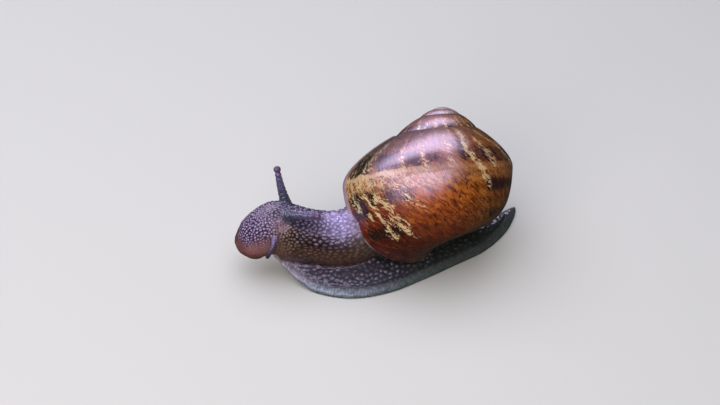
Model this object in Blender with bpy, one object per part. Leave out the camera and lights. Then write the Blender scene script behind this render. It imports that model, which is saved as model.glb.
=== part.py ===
"""Garden snail (Cornu aspersum), life size, creeping with its neck stretched out.

The animal lies along X with its head at -X, its left side at -Y and its sole on z = 0.
The shell is a right-handed spiral on its back, spire leaning to the animal's right and rear.
Lengths are in metres; the tables of stations are in millimetres.
"""
import math

import bmesh
import bpy
from mathutils import Matrix, Vector
from mathutils.geometry import interpolate_bezier

MM = 0.001
GAP = 0.3 * MM                 # clearance between neighbouring pieces

# Shell, measured in a half plane through its axis, from the apex down.
WHORL_GROWTH = 2.0             # size ratio of one whorl to the one before it
WHORLS = 4                     # whole turns that are modelled
STEPS_PER_TURN = 32
WIDEST_RADIUS = 19.74 * MM     # the last whorl's widest point, at the lip
WIDEST_DEPTH = 19.74 * MM
JOIN_ABOVE_WIDEST = 2          # points of the section between the widest and where the next whorl joins
SHOULDER_SLOPE = math.radians(28)
LIP_UPRIGHT_DEPTH = 9.87 * MM  # where the lip's slope starts
BASE_RADIUS = 7.8 * MM         # lowest point of the last whorl, at the lip
BASE_DEPTH = 36.1 * MM
COLUMELLA_RADIUS = 0.3 * MM
COLUMELLA_DEPTH = 30.2 * MM
APEX_ROUNDING = 2.5 * MM
APEX_OPENING = 1.9 * MM        # how near the tip the first whorl starts
SHELL_CORE = 1.5 * MM          # round the axis, where the shell's walls meet
LIP_OBLIQUITY = math.radians(26.7)
LIP_WALL = 0.9 * MM
MOUTH_RECESS = 0.30            # radians of growth from the lip back to the recess's floor
COLLAR_FILL = 0.70             # share of the mouth's width that the collar fills
COLLAR_BACK = 0.22             # radians of growth from the lip back to the collar's two faces
COLLAR_FRONT = 0.05
COLLAR_ENDS = 2                # points of the lip left free at each end of the collar
COLLAR_ROLL = 1.5 * MM         # width of the collar's rounded edge

# Handles of the section's curves: shoulder, side, base and pillar.
SHOULDER_HANDLE = 3.6 * MM
WIDEST_HANDLE = 3.8 * MM
SIDE_HANDLE_SHARE = 0.64       # of the drop from the widest point to the lowest
BASE_HANDLE = 9.0 * MM
PILLAR_HANDLE = 3.4 * MM
COLUMELLA_HANDLE = Vector((1.4, -3.4)) * MM
SECTION_POINTS = (9, 9, 6)     # along the shoulder, the side and the pillar
SUTURE_PASSES = 20             # the suture settles on the whorl before in far fewer

# How the shell is carried.
SHELL_APEX = Vector((16.5, 19.35, 25.56)) * MM
SHELL_LEAN = math.radians(43.7)
SHELL_YAW = math.radians(-1.7)
LIP_TURN = math.radians(175.5)

# Head, neck and trunk: x, y, z of the middle, half width, half height.
BODY_STATIONS = (
    (-22.9, 0.4, 4.7, 1.3, 1.5),
    (-22.5, 0.4, 5.3, 2.9, 2.8),
    (-21.4, 0.3, 6.7, 3.8, 3.7),
    (-19.7, 0.2, 8.6, 4.4, 4.4),
    (-17.7, 0.1, 10.2, 4.8, 4.9),
    (-15.4, 0.0, 10.9, 5.0, 5.1),
    (-12.5, 0.0, 10.0, 4.7, 4.7),
    (-8.5, 0.0, 9.0, 4.6, 4.6),
    (-4.0, 0.0, 8.7, 5.0, 4.7),
    (0.5, 0.8, 9.3, 5.6, 5.4),
    (4.5, 2.8, 11.4, 6.4, 6.0),
    (7.5, 4.6, 14.6, 6.2, 5.8),
    (10.0, 3.4, 16.6, 5.0, 5.0),
)
BODY_RINGS = 36
BODY_SIDES = 20
BODY_REACH = 4                 # rings on each side that set a section's direction
BODY_CUTS = (-21.2, -12.8, -2.0)           # x of the cuts between muzzle, head, neck, trunk
BODY_NAMES = ("muzzle", "head", "neck", "trunk")

# The neck spreads below and sinks into the foot: x and share of it, then how much.
NECK_BELLY = ((-19.5, 0.0), (-15.5, 1.0), (-4.0, 1.0), (1.0, 0.0))
NECK_SPREAD = 0.3
NECK_DEPTH = 0.4

# Foot: x, y, lift of the sole, half width, height of the back above the sole.
FOOT_STATIONS = (
    (-18.0, 0.7, 5.2, 0.5, 0.7),
    (-17.2, 0.6, 4.9, 2.6, 1.1),
    (-15.0, 0.5, 3.6, 4.4, 2.2),
    (-11.5, 0.2, 1.0, 6.2, 4.0),
    (-8.0, 0.0, 0.0, 7.9, 4.8),
    (-2.0, -0.4, 0.0, 9.0, 5.0),
    (4.0, 0.5, 0.0, 8.4, 5.2),
    (10.0, 2.4, 0.0, 6.9, 5.4),
    (17.0, 5.5, 0.0, 5.6, 4.4),
    (23.0, 8.2, 0.0, 4.3, 3.4),
    (28.0, 12.2, 0.0, 2.7, 2.4),
    (31.0, 16.2, 0.0, 1.3, 1.4),
    (32.3, 18.6, 0.0, 0.3, 0.5),
)
FOOT_RINGS = 40
FOOT_EDGE = 0.8 * MM           # thickness of the foot's margin
FOOT_ROUNDING = 0.3 * MM       # how far the margin is rounded in
FOOT_BACK_POINTS = 6           # steps over half of the foot's back
FOOT_REACH = 2
FOOT_CUTS = (-9.0, 6.0, 20.0)
FOOT_NAMES = ("foot_front", "foot_middle", "foot_rear", "tail")

# Feelers: points along the middle, radius at the root and at the tip.
UPPER_FEELER_ROOT_RADIUS = 1.4 * MM
DRAWN_IN_FEELER_ROOT_RADIUS = 1.9 * MM      # the left one is half drawn in, so it is thicker
UPPER_FEELER_TIP_RADIUS = 0.55 * MM
UPPER_FEELER_LEFT = ((-15.0, -1.4, 14.0), (-13.6, -1.9, 15.5), (-11.4, -2.3, 15.7), (-9.0, -2.4, 15.5))
UPPER_FEELER_RIGHT = ((-14.2, 1.9, 14.4), (-14.9, 2.5, 16.6), (-15.5, 3.2, 19.0), (-15.9, 3.8, 21.2))
FEELER_POINTS = 9
FEELER_TAPER = 0.7             # under 1 the feeler thins most near its root
LOWER_FEELER_ROOT_RADIUS = 0.55 * MM
LOWER_FEELER_TIP_RADIUS = 0.42 * MM
LOWER_FEELER_LEFT = ((-16.4, -4.0, 13.2), (-16.6, -5.4, 12.2), (-17.0, -6.2, 10.6), (-17.8, -6.3, 8.8))
LOWER_FEELER_RIGHT = ((-17.6, 4.0, 11.8), (-17.9, 5.3, 10.6), (-18.6, 5.9, 9.4), (-19.2, 6.0, 8.3))
EYE_RADIUS = 0.72 * MM
EYE_CLEARANCE = 1.2 * GAP      # a facet of the bulb lies a little inside its sphere
WELD = 1e-6                    # distance at which doubled points are joined

# Colours: sRGB as the eye sees them, with roughness.
SHELL_BROWN = ((0.55, 0.32, 0.15), 0.28)
SKIN_GREY = ((0.36, 0.27, 0.30), 0.38)
SKIN_PINK = ((0.47, 0.31, 0.30), 0.40)
FOOT_GREY = ((0.47, 0.45, 0.52), 0.42)
COLLAR_OLIVE = ((0.42, 0.33, 0.20), 0.38)
FEELER_BLUE = ((0.30, 0.30, 0.38), 0.40)
EYE_DARK = ((0.12, 0.08, 0.15), 0.22)


def clear_scene():
    for obj in list(bpy.data.objects):
        bpy.data.objects.remove(obj, do_unlink=True)


def new_collection(name):
    collection = bpy.data.collections.new(name)
    bpy.context.scene.collection.children.link(collection)
    return collection


def material(name, look):
    """A Principled material from an sRGB colour and a roughness."""
    colour, roughness = look
    linear = [((c + 0.055) / 1.055) ** 2.4 for c in colour]
    result = bpy.data.materials.new(name)
    result.use_nodes = True
    shader = result.node_tree.nodes["Principled BSDF"]
    shader.inputs["Base Color"].default_value = (*linear, 1.0)
    shader.inputs["Roughness"].default_value = roughness
    shader.inputs["Metallic"].default_value = 0.0
    return result


def add_object(name, mesh, collection, surface=None):
    obj = bpy.data.objects.new(name, mesh)
    collection.objects.link(obj)
    if surface:
        mesh.materials.append(surface)
        mesh.shade_smooth()
        mesh.set_sharp_from_angle(angle=math.radians(50))
    return obj


def mesh_from(name, bm):
    """Finish a bmesh: outward faces, then a mesh."""
    bmesh.ops.recalc_face_normals(bm, faces=bm.faces[:])
    mesh = bpy.data.meshes.new(name)
    bm.to_mesh(mesh)
    bm.free()
    return mesh


def close_with_fan(bm, edges, point):
    """Close an open rim with triangles that meet in one point."""
    extruded = bmesh.ops.extrude_edge_only(bm, edges=edges)["geom"]
    verts = [item for item in extruded if isinstance(item, bmesh.types.BMVert)]
    bmesh.ops.pointmerge(bm, verts=verts, merge_co=point)


def open_edges(bm):
    return [edge for edge in bm.edges if edge.is_boundary]


# --- shell -------------------------------------------------------------------

def section_curves():
    """Half-plane section at the lip: suture to widest point, and on round the base to the axis."""
    widest = Vector((WIDEST_RADIUS, -WIDEST_DEPTH))
    lowest = Vector((BASE_RADIUS, -BASE_DEPTH))
    inner = Vector((COLUMELLA_RADIUS, -COLUMELLA_DEPTH))
    slope = Vector((math.cos(SHOULDER_SLOPE), -math.sin(SHOULDER_SLOPE)))
    above = widest + Vector((0, WIDEST_HANDLE))
    below = widest - Vector((0, SIDE_HANDLE_SHARE * (widest.y - lowest.y)))
    outside = lowest + Vector((BASE_HANDLE, 0))
    inside = lowest - Vector((PILLAR_HANDLE, 0))
    steps = SECTION_POINTS
    suture = widest / WHORL_GROWTH
    for _ in range(SUTURE_PASSES):
        upper = interpolate_bezier(suture, suture + slope * SHOULDER_HANDLE, above, widest, steps[0])
        suture = upper[-1 - JOIN_ABOVE_WIDEST] / WHORL_GROWTH
    lower = interpolate_bezier(widest, below, outside, lowest, steps[1])
    pillar = interpolate_bezier(lowest, inside, inner + COLUMELLA_HANDLE, inner, steps[2])
    return upper, lower[1:] + pillar[1:]


def on_spiral(point, turn):
    """Carry a section point (radius, depth) along the spiral; turn 0 is the lip."""
    size = WHORL_GROWTH ** (turn / math.tau)
    radius = point.x * size
    depth = math.hypot(point.y * size, APEX_ROUNDING) - APEX_ROUNDING
    return Vector((radius * math.cos(turn), -radius * math.sin(turn), -depth))


def lip_lag(point):
    """Angle by which the lip trails its upper end: the mouth's plane leans."""
    below = point.y + LIP_UPRIGHT_DEPTH
    return math.tan(LIP_OBLIQUITY) * below / WIDEST_RADIUS


def shell_surface(bm):
    """The spire's outer face and the whole of the last whorl, open at the apex and the mouth."""
    upper, base = section_curves()
    join = len(upper) - JOIN_ABOVE_WIDEST
    spire_steps = (WHORLS - 1) * STEPS_PER_TURN
    rows = []
    for step in range(WHORLS * STEPS_PER_TURN + 1):
        turn = math.tau * (step / STEPS_PER_TURN - WHORLS)
        last = max(0.0, 1 + turn / math.tau)
        ease = last * last * (3 - 2 * last)
        outline = upper[:join] if step < spire_steps else upper + base
        row = [bm.verts.new(on_spiral(p, turn + ease * lip_lag(p))) for p in outline[1:]]
        if step < STEPS_PER_TURN:
            row.insert(0, bm.verts.new(on_spiral(upper[0], turn)))
        else:
            row.insert(0, rows[step - STEPS_PER_TURN][join - 1])
        if rows:
            for i in range(min(len(row), len(rows[-1])) - 1):
                bm.faces.new((rows[-1][i], rows[-1][i + 1], row[i + 1], row[i]))
        rows.append(row)
    return rows


def grown(point, turn):
    """The similarity that carries the whole shell forward by a turn of growth."""
    size = WHORL_GROWTH ** (turn / math.tau)
    return Matrix.Rotation(-turn, 3, "Z") @ point * size


def mid_point(points):
    return sum(points, Vector()) / len(points)


def pull_in(bm, edges, centre, distance):
    """Extrude an open rim and draw its new edge towards a centre."""
    extruded = bmesh.ops.extrude_edge_only(bm, edges=edges)["geom"]
    for item in extruded:
        if isinstance(item, bmesh.types.BMVert):
            item.co += (centre - item.co).normalized() * distance


def push_along_growth(bm, edges, turn):
    extruded = bmesh.ops.extrude_edge_only(bm, edges=edges)["geom"]
    for item in extruded:
        if isinstance(item, bmesh.types.BMVert):
            item.co = grown(item.co, turn)


def shell_mesh(name, recessed):
    """The whole shell; the mouth is a shallow recess behind its lip, or is filled to the lip."""
    bm = bmesh.new()
    shell_surface(bm)
    apex_edges = [e for e in open_edges(bm) if max(v.co.length for v in e.verts) < APEX_OPENING]
    close_with_fan(bm, apex_edges, Vector())
    mouth = bmesh.ops.holes_fill(bm, edges=open_edges(bm), sides=0)["faces"]
    if recessed:
        bmesh.ops.recalc_face_normals(bm, faces=bm.faces[:])
        bmesh.ops.inset_region(bm, faces=mouth, thickness=LIP_WALL)
        extruded = bmesh.ops.extrude_face_region(bm, geom=mouth)["geom"]
        bmesh.ops.delete(bm, geom=mouth, context="FACES")
        for item in extruded:
            if isinstance(item, bmesh.types.BMVert):
                item.co = grown(item.co, -MOUTH_RECESS)
    bmesh.ops.triangulate(bm, faces=[face for face in bm.faces if len(face.verts) > 4])
    return mesh_from(name, bm)


def collar_mesh(name):
    """The mantle collar: a plug of flesh behind the lip, its face a soft roll round the edge."""
    surface = bmesh.new()
    points = [v.co.copy() for v in shell_surface(surface)[-1][COLLAR_ENDS:-COLLAR_ENDS]]
    surface.free()
    centre = mid_point(points)
    bm = bmesh.new()
    ring = [bm.verts.new(grown(centre.lerp(point, COLLAR_FILL), -COLLAR_BACK)) for point in points]
    for start, end in zip(ring, ring[1:] + ring[:1]):
        bm.edges.new((start, end))
    close_with_fan(bm, bm.edges[:], grown(centre, -COLLAR_BACK))
    push_along_growth(bm, open_edges(bm), COLLAR_BACK - COLLAR_FRONT)
    front = grown(centre, -COLLAR_FRONT)
    pull_in(bm, open_edges(bm), front, COLLAR_ROLL)
    close_with_fan(bm, open_edges(bm), front)
    return mesh_from(name, bm)


def carry_shell(mesh):
    """Set a shell piece, modelled about its own axis, on the animal's back."""
    turn = Matrix.Rotation(SHELL_YAW, 4, "Z") @ Matrix.Rotation(-SHELL_LEAN, 4, "X")
    mesh.transform(Matrix.Translation(SHELL_APEX) @ turn @ Matrix.Rotation(LIP_TURN, 4, "Z"))


# --- flesh -------------------------------------------------------------------

def along(stations, count):
    """Rows of values at even steps along a smooth curve through the stations."""
    rows = []
    spans = len(stations) - 1
    for i in range(count):
        place = i * spans / (count - 1)
        k = min(int(place), spans - 1)
        f = place - k
        corners = [stations[min(max(k + j, 0), spans)] for j in (-1, 0, 1, 2)]
        rows.append([catmull_rom(*values, f) * MM for values in zip(*corners)])
    return rows


def catmull_rom(a, b, c, d, f):
    return 0.5 * (
        2 * b + (c - a) * f + (2 * a - 5 * b + 4 * c - d) * f * f + (3 * b - a - 3 * c + d) * f ** 3
    )


def loft(name, rings):
    """Skin a row of rings with equal point counts and close both ends."""
    bm = bmesh.new()
    rows = [[bm.verts.new(point) for point in ring] for ring in rings]
    for row, following in zip(rows, rows[1:]):
        for i in range(len(row)):
            j = (i + 1) % len(row)
            bm.faces.new((row[i], row[j], following[j], following[i]))
    for row in (rows[0], rows[-1]):
        rim = [e for e in open_edges(bm) if e.verts[0] in row and e.verts[1] in row]
        close_with_fan(bm, rim, mid_point([v.co for v in row]))
    return mesh_from(name, bm)


def directions(middles, reach):
    """Unit tangents along a path, each taken over a few points so that sections don't cross."""
    last = len(middles) - 1
    return [
        (middles[min(i + reach, last)] - middles[max(i - reach, 0)]).normalized()
        for i in range(last + 1)
    ]


def ramp(place, table):
    """The share at a place, from straight lines between (place, share) pairs."""
    for (place_a, share_a), (place_b, share_b) in zip(table, table[1:]):
        if place < place_b:
            return share_a + (share_b - share_a) * max(place - place_a, 0.0) / (place_b - place_a)
    return table[-1][1]


def body_mesh(name):
    """Head, neck and trunk in one: ellipses square to a curved midline, fuller below."""
    rows = along(BODY_STATIONS, BODY_RINGS)
    middles = [Vector(row[:3]) for row in rows]
    rings = []
    for middle, ahead, (*_, half_width, half_height) in zip(middles, directions(middles, BODY_REACH), rows):
        side = Vector((0, 0, 1)).cross(ahead).normalized()
        top = ahead.cross(side)
        belly = ramp(middle.x / MM, NECK_BELLY)
        ring = []
        for k in range(BODY_SIDES):
            angle = math.tau * k / BODY_SIDES
            below = belly * max(-math.sin(angle), 0.0)
            ring.append(
                middle + side * half_width * math.cos(angle) * (1 + NECK_SPREAD * below)
                + top * half_height * math.sin(angle) * (1 + NECK_DEPTH * below)
            )
        rings.append(ring)
    return loft(name, rings)


def foot_profile(half_width, height):
    """Right half of the foot's section: flat sole, thin margin, rounded back."""
    edge = min(FOOT_EDGE, 0.5 * height)
    lip = min(FOOT_ROUNDING, 0.2 * half_width)
    shoulder = half_width - 0.5 * lip
    half = [(half_width - 2 * lip, 0.0), (half_width - lip, 0.0), (half_width, 0.5 * edge)]
    for k in range(FOOT_BACK_POINTS):
        share = k / FOOT_BACK_POINTS
        rise = math.sin(0.5 * math.pi * share)
        half.append((shoulder * (1 - share), edge + (height - edge) * rise))
    return half


def foot_mesh(name):
    """The foot: its section carried along a curved midline, tapering to the tail."""
    rows = along(FOOT_STATIONS, FOOT_RINGS)
    middles = [Vector((row[0], row[1], 0)) for row in rows]
    rings = []
    for middle, ahead, (*_, lift, half_width, height) in zip(middles, directions(middles, FOOT_REACH), rows):
        side = Vector((0, 0, 1)).cross(ahead)
        lift = max(lift, 0.0)
        half = foot_profile(half_width, height)
        outline = [(0.0, 0.0)] + half + [(0.0, height)] + [(-x, z) for x, z in reversed(half)]
        rings.append([middle + side * x + Vector((0, 0, lift + z)) for x, z in outline])
    return loft(name, rings)


def swollen(mesh, distance, core=0.0):
    """A copy of a closed mesh whose faces stand out by a distance, save within a core round Z."""
    bm = bmesh.new()
    bm.from_mesh(mesh)
    bm.normal_update()
    moves = [(vert, vert.normal * distance) for vert in bm.verts if vert.co.xy.length >= core]
    for vert, move in moves:
        vert.co += move
    result = bpy.data.meshes.new(mesh.name + "_clearance")
    bm.to_mesh(result)
    bm.free()
    return result


def cut_away(mesh, cutters):
    """Subtract cutter objects from a mesh and return the mesh that is left."""
    work = bpy.data.objects.new("work", mesh)
    bpy.context.scene.collection.objects.link(work)
    for cutter in cutters:
        boolean = work.modifiers.new("cut", "BOOLEAN")
        boolean.operation = "DIFFERENCE"
        boolean.object = cutter
    graph = bpy.context.evaluated_depsgraph_get()
    result = bpy.data.meshes.new_from_object(work.evaluated_get(graph))
    bpy.data.objects.remove(work)
    return result


def length_of(mesh, name, low, high):
    """The part of a mesh between two planes across X, with closed ends."""
    bm = bmesh.new()
    bm.from_mesh(mesh)
    for place, outward in ((low, -1), (high, 1)):
        if place is None:
            continue
        geometry = bm.verts[:] + bm.edges[:] + bm.faces[:]
        bmesh.ops.bisect_plane(
            bm, geom=geometry, dist=0.1 * WELD, clear_outer=True,
            plane_co=(place, 0, 0), plane_no=(outward, 0, 0)
        )
        bmesh.ops.holes_fill(bm, edges=open_edges(bm), sides=0)
    return mesh_from(name, bm)


def add_lengths(mesh, names, cuts, collection, surfaces):
    """Divide a long mesh into named pieces with a thin gap at each cut."""
    places = [None, *(cut * MM for cut in cuts), None]
    for name, low, high, surface in zip(names, places, places[1:], surfaces):
        start = None if low is None else low + 0.5 * GAP
        end = None if high is None else high - 0.5 * GAP
        add_object(name, length_of(mesh, name, start, end), collection, surface)


def feeler_mesh(name, path, root_radius, tip_radius):
    """A tapering feeler: a curve with a round bevel and closed ends."""
    curve = bpy.data.curves.new(name, "CURVE")
    curve.dimensions = "3D"
    curve.bevel_depth = 1.0
    curve.bevel_resolution = 2
    curve.use_fill_caps = True
    spline = curve.splines.new("POLY")
    points = along(path, FEELER_POINTS)
    spline.points.add(len(points) - 1)
    for i, (target, place) in enumerate(zip(spline.points, points)):
        share = i / (len(points) - 1)
        target.co = (*place, 1.0)
        target.radius = root_radius + (tip_radius - root_radius) * share ** FEELER_TAPER
    work = bpy.data.objects.new(name, curve)
    bpy.context.scene.collection.objects.link(work)
    graph = bpy.context.evaluated_depsgraph_get()
    mesh = bpy.data.meshes.new_from_object(work.evaluated_get(graph))
    bpy.data.objects.remove(work)
    bm = bmesh.new()
    bm.from_mesh(mesh)
    bmesh.ops.remove_doubles(bm, verts=bm.verts[:], dist=WELD)
    return mesh_from(name, bm)


def eye_mesh(name, path):
    """The round eye bulb, just clear of its feeler's end."""
    end, before = (Vector(point) * MM for point in (path[-1], path[-2]))
    ahead = (end - before).normalized()
    reach = math.sqrt(EYE_RADIUS ** 2 - UPPER_FEELER_TIP_RADIUS ** 2) + EYE_CLEARANCE
    bm = bmesh.new()
    bmesh.ops.create_uvsphere(bm, u_segments=16, v_segments=10, radius=EYE_RADIUS)
    bmesh.ops.translate(bm, verts=bm.verts[:], vec=end + ahead * reach)
    return mesh_from(name, bm)


def stand_on_origin(collection):
    """Move every piece so that the middle of the whole box's floor is the origin."""
    corners = [v.co for obj in collection.objects for v in obj.data.vertices]
    shift = [-(min(c[i] for c in corners) + max(c[i] for c in corners)) / 2 for i in (0, 1)]
    for obj in collection.objects:
        obj.location = (*shift, -min(c.z for c in corners))


def build():
    clear_scene()
    snail = new_collection("garden_snail")
    cutters = new_collection("cutters")

    shell = shell_mesh("shell", recessed=True)
    collar = collar_mesh("mantle_collar")
    filled = shell_mesh("shell_space", recessed=False)
    shell_clearance = swollen(filled, GAP, SHELL_CORE)
    for mesh in (shell, collar, shell_clearance):
        carry_shell(mesh)
    body = body_mesh("body")
    shell_space = add_object("shell_space", shell_clearance, cutters)
    collar_space = add_object("collar_space", swollen(collar, GAP), cutters)
    body_space = add_object("body_space", swollen(body, GAP), cutters)
    for cutter in (shell_space, collar_space, body_space):
        cutter.hide_render = True
        cutter.display_type = "WIRE"

    add_object("shell", shell, snail, material("shell", SHELL_BROWN))
    add_object("mantle_collar", collar, snail, material("collar", COLLAR_OLIVE))

    skin = material("skin", SKIN_GREY)
    muzzle_skin = material("muzzle_skin", SKIN_PINK)
    surfaces = (muzzle_skin, skin, skin, skin)
    flesh = cut_away(body, [shell_space, collar_space])
    add_lengths(flesh, BODY_NAMES, BODY_CUTS, snail, surfaces)
    foot = cut_away(foot_mesh("foot"), [body_space, shell_space])
    add_lengths(foot, FOOT_NAMES, FOOT_CUTS, snail, [material("foot_skin", FOOT_GREY)] * 4)

    feeler_skin = material("feeler_skin", FEELER_BLUE)
    eye = material("eye", EYE_DARK)
    for side, path, root_radius in (
        ("left", UPPER_FEELER_LEFT, DRAWN_IN_FEELER_ROOT_RADIUS),
        ("right", UPPER_FEELER_RIGHT, UPPER_FEELER_ROOT_RADIUS),
    ):
        mesh = feeler_mesh("feeler", path, root_radius, UPPER_FEELER_TIP_RADIUS)
        add_object("upper_feeler_" + side, cut_away(mesh, [body_space]), snail, feeler_skin)
        add_object("eye_" + side, eye_mesh("eye", path), snail, eye)
    for side, path in (("left", LOWER_FEELER_LEFT), ("right", LOWER_FEELER_RIGHT)):
        mesh = feeler_mesh("feeler", path, LOWER_FEELER_ROOT_RADIUS, LOWER_FEELER_TIP_RADIUS)
        add_object("lower_feeler_" + side, cut_away(mesh, [body_space]), snail, feeler_skin)
    stand_on_origin(snail)


build()
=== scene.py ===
"""A garden snail creeping with its neck stretched out, in its looks: shell, skin and eyes."""
import math
import bmesh
import bpy
import numpy as np
from mathutils import Matrix, Vector, kdtree, noise
from mathutils.bvhtree import BVHTree
from mathutils.geometry import interpolate_bezier


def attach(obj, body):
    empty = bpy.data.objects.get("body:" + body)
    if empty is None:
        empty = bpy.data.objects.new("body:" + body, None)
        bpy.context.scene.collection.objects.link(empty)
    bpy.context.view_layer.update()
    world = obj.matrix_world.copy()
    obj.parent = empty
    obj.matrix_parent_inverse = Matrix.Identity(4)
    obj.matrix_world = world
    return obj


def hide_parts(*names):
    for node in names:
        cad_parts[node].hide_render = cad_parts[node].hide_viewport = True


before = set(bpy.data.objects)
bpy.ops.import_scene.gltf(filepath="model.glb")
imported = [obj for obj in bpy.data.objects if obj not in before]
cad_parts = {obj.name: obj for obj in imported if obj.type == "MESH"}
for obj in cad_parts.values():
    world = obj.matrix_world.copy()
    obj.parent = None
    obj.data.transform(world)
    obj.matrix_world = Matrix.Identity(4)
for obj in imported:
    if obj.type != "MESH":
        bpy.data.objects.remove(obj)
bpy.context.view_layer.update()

# --- camera ------------------------------------------------------------------
# A long lens looks down on the animal's left side, square to its length.

MM = 0.001
FIT = Vector((-3.93, -6.362, 0.0)) * MM            # where the modelling origin lies in the frame
CAMERA_AIM = Vector((0.0, 0.0, 17.0)) * MM + FIT
CAMERA_DISTANCE = 329 * MM
CAMERA_ELEVATION = math.radians(40)


def put_in_scene(name, data):
    obj = bpy.data.objects.new(name, data)
    bpy.context.scene.collection.objects.link(obj)
    return obj


lens = bpy.data.cameras.new("camera")
lens.lens = 85
lens.sensor_width = 36
lens.clip_start = 10 * MM
camera = put_in_scene("camera", lens)
away = Vector((0.0, -math.cos(CAMERA_ELEVATION), math.sin(CAMERA_ELEVATION)))
camera.location = CAMERA_AIM + away * CAMERA_DISTANCE
camera.rotation_euler = away.to_track_quat("Z", "Y").to_euler()
bpy.context.scene.camera = camera

# --- studio ------------------------------------------------------------------
# Overcast daylight: a broad panel above and a little behind, a weak warm fill from the
# camera's side, and a cool white card overhead that only shows up as wet reflections.


def linear(hex_colour):
    """An sRGB hex colour as a linear RGBA tuple."""
    values = [int(hex_colour[i:i + 2], 16) / 255 for i in (1, 3, 5)]
    parts = [v / 12.92 if v <= 0.04045 else ((v + 0.055) / 1.055) ** 2.4 for v in values]
    return (*parts, 1.0)


def set_inputs(tree, node, inputs):
    """Fill a node's inputs with values, or link them to sockets."""
    for name, value in inputs.items():
        if isinstance(value, bpy.types.NodeSocket):
            tree.links.new(value, node.inputs[name])
        else:
            node.inputs[name].default_value = value


def add_node(tree, kind, settings=None, inputs=None):
    """Add a node with its settings and inputs."""
    node = tree.nodes.new(kind)
    for name, value in (settings or {}).items():
        setattr(node, name, value)
    set_inputs(tree, node, inputs or {})
    return node


def new_material(name):
    """A material with its node tree and its Principled shader."""
    material = bpy.data.materials.new(name)
    material.use_nodes = True
    return material, material.node_tree, material.node_tree.nodes["Principled BSDF"]


def mesh_from(bm, name):
    """A mesh made from a bmesh, which is freed."""
    mesh = bpy.data.meshes.new(name)
    bm.to_mesh(mesh)
    bm.free()
    return mesh


def area_light(name, place, size, power, colour, aim=None):
    """A rectangular light that shines straight down, or at a point."""
    light = bpy.data.lights.new(name, "AREA")
    light.shape = "RECTANGLE"
    light.size, light.size_y = size
    light.energy = power
    light.color = linear(colour)[:3]
    obj = put_in_scene(name, light)
    obj.location = place
    if aim is not None:
        obj.rotation_euler = (obj.location - aim).to_track_quat("Z", "Y").to_euler()
    return obj


sky_panel = area_light("sky_panel", (-0.14, 0.02, 0.42), (0.7, 0.7), 3.4, "#F4F1FF")
sky_panel.visible_glossy = False
wet_card = area_light("wet_card", (-0.25, 0.22, 0.42), (0.9, 1.5), 24.0, "#E0CDF4")
wet_card.visible_diffuse = False
fill_panel = area_light(
    "fill_panel", (-0.2, -0.45, 0.25), (0.4, 0.4), 1.8, "#FFF4E6", aim=Vector((0, 0, 0.01))
)
fill_panel.visible_glossy = False

world = bpy.data.worlds.new("surroundings")
bpy.context.scene.world = world
world.use_nodes = True
set_inputs(world.node_tree, world.node_tree.nodes["Background"],
           {"Color": linear("#B4BDB4"), "Strength": 0.06})
bpy.context.scene.view_settings.view_transform = "Standard"

FLOOR_SIZE = 3.0
floor_bm = bmesh.new()
bmesh.ops.create_grid(floor_bm, x_segments=2, y_segments=2, size=FLOOR_SIZE / 2)
floor_mesh = mesh_from(floor_bm, "floor")
floor = put_in_scene("floor", floor_mesh)
paper, tree, shader = new_material("matt_paper")
set_inputs(tree, shader, {"Base Color": linear("#D0D2CE"), "Roughness": 0.9, "Specular IOR Level": 0.0})
floor_mesh.materials.append(paper)
floor.visible_glossy = False

# --- shell -------------------------------------------------------------------
# One tube of lime that coils to the right and doubles with each turn, under a thin
# horny coat. It grows at the lip, so its lines run parallel to the lip, and dark
# spiral bands are broken by pale flames. The lip is thick, pale and turned out.

GROWTH = 2.0                       # size ratio of one turn to the one before
WIDEST = Vector((19.74, -19.74))   # mm from the axis and below the tip, at the lip
UPPER_POINTS, LOWER_POINTS, INNER_POINTS = 30, 52, 26
SUTURE_RISE = 7                    # points above the widest where the next turn joins
SUTURE_PASSES = 12                 # the suture's place and the upper curve settle in turn
SHOULDER = 3.6 * Vector((math.cos(math.radians(28)), -math.sin(math.radians(28))))
WIDEST_HANDLE = Vector((0, 3.8))
SIDE_SHARE = 0.64                  # handle of the side, share of the depth below the widest
LOWEST = Vector((7.8, -36.1))
PILLAR = Vector((0.3, -30.2))
TIP_ROUNDING = 2.5                 # mm by which the apex is blunted
SUTURE_DEPTH = -9.87               # mm below the tip, where the lip stands upright
LIP_SLOPE = math.tan(math.radians(26.7)) / WIDEST.x
STEPS_PER_TURN = 320
SPIRE_TURNS = 4.5
LIP_ROUND = 0.42                   # half the lip's thickness, mm
LIP_STEPS = 8                      # round its edge
LIP_BULGE = 0.022                  # radians that its edge stands forward
LIP_FLARE = 0.6                    # mm that the lip turns out
LIP_LOW_FLARE = 0.15               # share of the flare that is left near the pillar
LIP_FADE = (20.0, 10.0)            # mm along the section where the flare starts to fade, and over which
LIP_WIDTH = 0.16                   # radians over which it turns out
INNER_TURN = 0.9                   # radians of the inner wall behind the lip
INNER_STEPS = 30
PLACE_AT_SUTURE = -1.1             # mm, where places along the section are counted from
RIPPLE = 0.07                      # mm of unevenness from spells of growth
RIPPLES_PER_RADIAN = 7.0
SUTURE_CREASE = 0.6                # radians between faces that meet at the suture
SHELL_TIP = Vector((16.5, 19.35, 25.56)) * MM + FIT
SHELL_PLACE = (
    Matrix.Translation(SHELL_TIP)
    @ Matrix.Rotation(math.radians(-1.7), 4, "Z")
    @ Matrix.Rotation(math.radians(-43.7), 4, "X")
    @ Matrix.Rotation(math.radians(175.5), 4, "Z")
    @ Matrix.Scale(MM, 4)
)


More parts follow.
